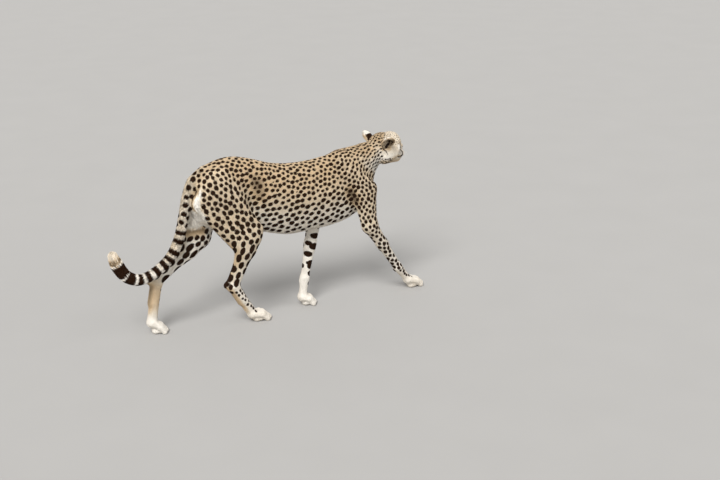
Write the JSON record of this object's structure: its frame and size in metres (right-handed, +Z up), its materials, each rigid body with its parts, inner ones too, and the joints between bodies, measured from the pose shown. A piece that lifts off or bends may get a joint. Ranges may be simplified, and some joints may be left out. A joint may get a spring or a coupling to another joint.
{
  "type": "cheetah",
  "caption": "Life-size walking cheetah: slender spotted body, small round head turned a little to its left, long legs in mid-stride, ringed tail hanging and curling up at its tip.",
  "frame": {"origin": "middle of the model's box, on the floor that the paws stand on", "axes": "+X the way it walks, +Y its left side, +Z up"},
  "size_m": [1.68, 0.234, 0.8479],
  "materials": {
    "spotted_coat": "short lying fur, tawny with dark brown spots, paler below",
    "pale_coat": "short cream fur of the lower legs and paws",
    "ringed_coat": "longer fur of the tail, with dark rings and a white tip",
    "nose_leather": "bare dark nose, slightly moist",
    "eye": "wet amber eye with a round dark pupil",
    "horn": "dark polished horn of the claws"
  },
  "bodies": {
    "root": {"claw_fore_left_1": "horn", "claw_fore_left_2": "horn", "claw_fore_left_3": "horn", "claw_fore_left_4": "horn", "claw_fore_right_1": "horn", "claw_fore_right_2": "horn", "claw_fore_right_3": "horn", "claw_fore_right_4": "horn", "claw_hind_left_1": "horn", "claw_hind_left_2": "horn", "claw_hind_left_3": "horn", "claw_hind_left_4": "horn", "claw_hind_right_1": "horn", "claw_hind_right_2": "horn", "claw_hind_right_3": "horn", "claw_hind_right_4": "horn", "ear_left": "spotted_coat", "ear_right": "spotted_coat", "eye_left": "eye", "eye_right": "eye", "fore_left_forearm": "spotted_coat", "fore_left_paw": "pale_coat", "fore_left_upper_arm": "spotted_coat", "fore_left_wrist": "pale_coat", "fore_right_forearm": "spotted_coat", "fore_right_paw": "pale_coat", "fore_right_upper_arm": "spotted_coat", "fore_right_wrist": "pale_coat", "head": "spotted_coat", "hind_left_hock": "pale_coat", "hind_left_paw": "pale_coat", "hind_left_shank": "spotted_coat", "hind_left_thigh": "spotted_coat", "hind_right_hock": "pale_coat", "hind_right_paw": "pale_coat", "hind_right_shank": "spotted_coat", "hind_right_thigh": "spotted_coat", "neck": "spotted_coat", "nose": "nose_leather", "tail_1": "spotted_coat", "tail_2": "spotted_coat", "tail_3": "ringed_coat", "tail_4": "ringed_coat", "trunk": "spotted_coat"}
  },
  "joints": []
}
